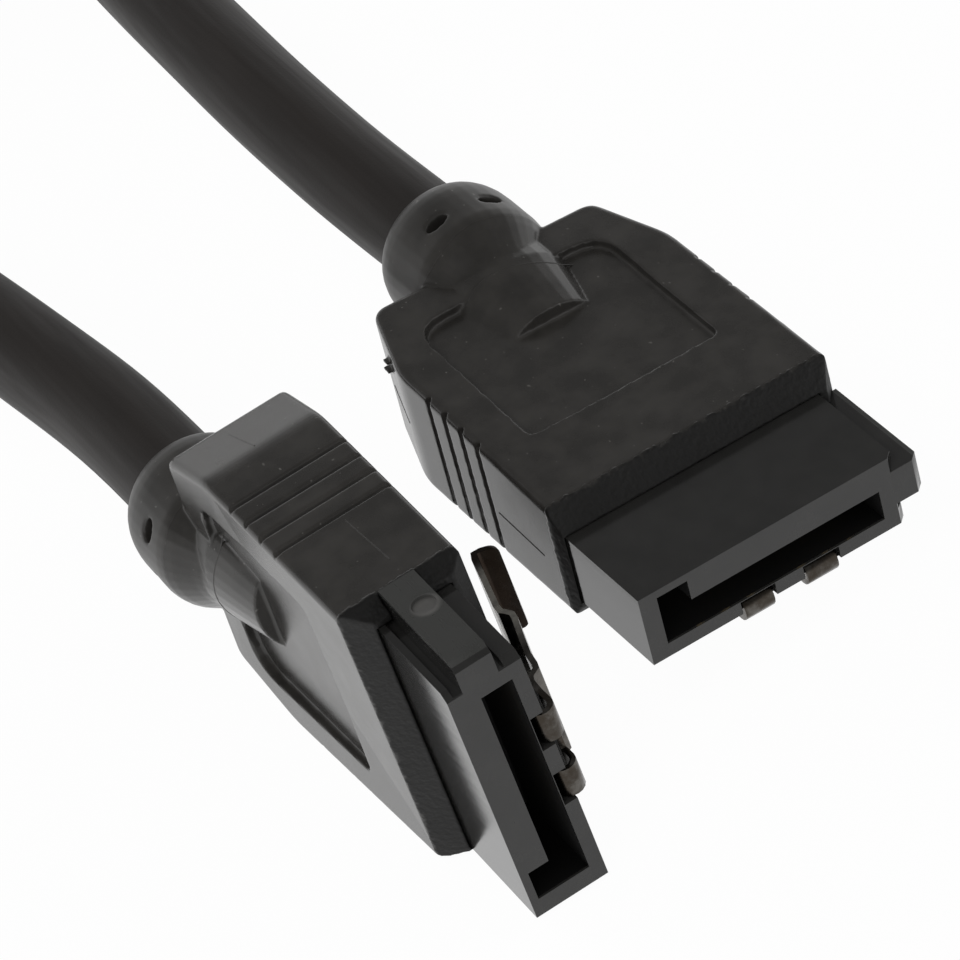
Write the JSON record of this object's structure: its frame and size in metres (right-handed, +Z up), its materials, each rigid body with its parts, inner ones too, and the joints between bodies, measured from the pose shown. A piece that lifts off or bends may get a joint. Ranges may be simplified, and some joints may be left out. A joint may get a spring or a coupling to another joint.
{
  "type": "serial data cable",
  "caption": "Round black data cord with a straight latching plug at each end, with L-shaped slot, side key and spring latch, its spare length folded into a tied hank.",
  "frame": {"origin": "bottom centre of the box round the two plugs, on the surface that they rest on", "axes": "+X is the way both plugs are pushed in, +Z is up, the cord and its hank lie towards -X"},
  "size_m": [0.1565, 0.0338, 0.0142],
  "materials": {
    "overmould": "fine matte grain",
    "connector_housing": "glossy",
    "latch_spring": "dark, satin",
    "contact": "gold plated",
    "inner_mould": "matte",
    "signal_wire": "satin",
    "drain_wire": "tinned",
    "cord": "satin",
    "tie": "matte"
  },
  "bodies": {
    "cable": {"overmould_a": "overmould", "connector_housing_a": "connector_housing", "inner_mould_a": "inner_mould", "contact_1_a": "contact", "drain_wire_1_a": "drain_wire", "contact_2_a": "contact", "signal_wire_2_a": "signal_wire", "contact_3_a": "contact", "signal_wire_3_a": "signal_wire", "contact_4_a": "contact", "drain_wire_4_a": "drain_wire", "contact_5_a": "contact", "signal_wire_5_a": "signal_wire", "contact_6_a": "contact", "signal_wire_6_a": "signal_wire", "contact_7_a": "contact", "drain_wire_7_a": "drain_wire", "overmould_b": "overmould", "connector_housing_b": "connector_housing", "inner_mould_b": "inner_mould", "contact_1_b": "contact", "drain_wire_1_b": "drain_wire", "contact_2_b": "contact", "signal_wire_2_b": "signal_wire", "contact_3_b": "contact", "signal_wire_3_b": "signal_wire", "contact_4_b": "contact", "drain_wire_4_b": "drain_wire", "contact_5_b": "contact", "signal_wire_5_b": "signal_wire", "contact_6_b": "contact", "signal_wire_6_b": "signal_wire", "contact_7_b": "contact", "drain_wire_7_b": "drain_wire", "cord_a": "cord", "cord_b": "cord", "cord_hank": "cord", "cord_tie": "tie"},
    "latch_a": {"latch_spring_a": "latch_spring"},
    "latch_b": {"latch_spring_b": "latch_spring"}
  },
  "joints": [
    {"name": "latch_a_bend", "type": "hinge", "parent": "cable", "child": "latch_a", "pos_m": [0.0105, 0.00647, 0.00375], "axis": [-0.0427, 0.9948, -0.0924], "range_deg": [0, 5], "stiffness_Nm_per_rad": 0.05, "springref_deg": -5.73},
    {"name": "latch_b_bend", "type": "hinge", "parent": "cable", "child": "latch_b", "pos_m": [0.01523, -0.00658, 0.00717], "axis": [0, 0, 1], "range_deg": [0, 5], "stiffness_Nm_per_rad": 0.05, "springref_deg": -5.73}
  ]
}
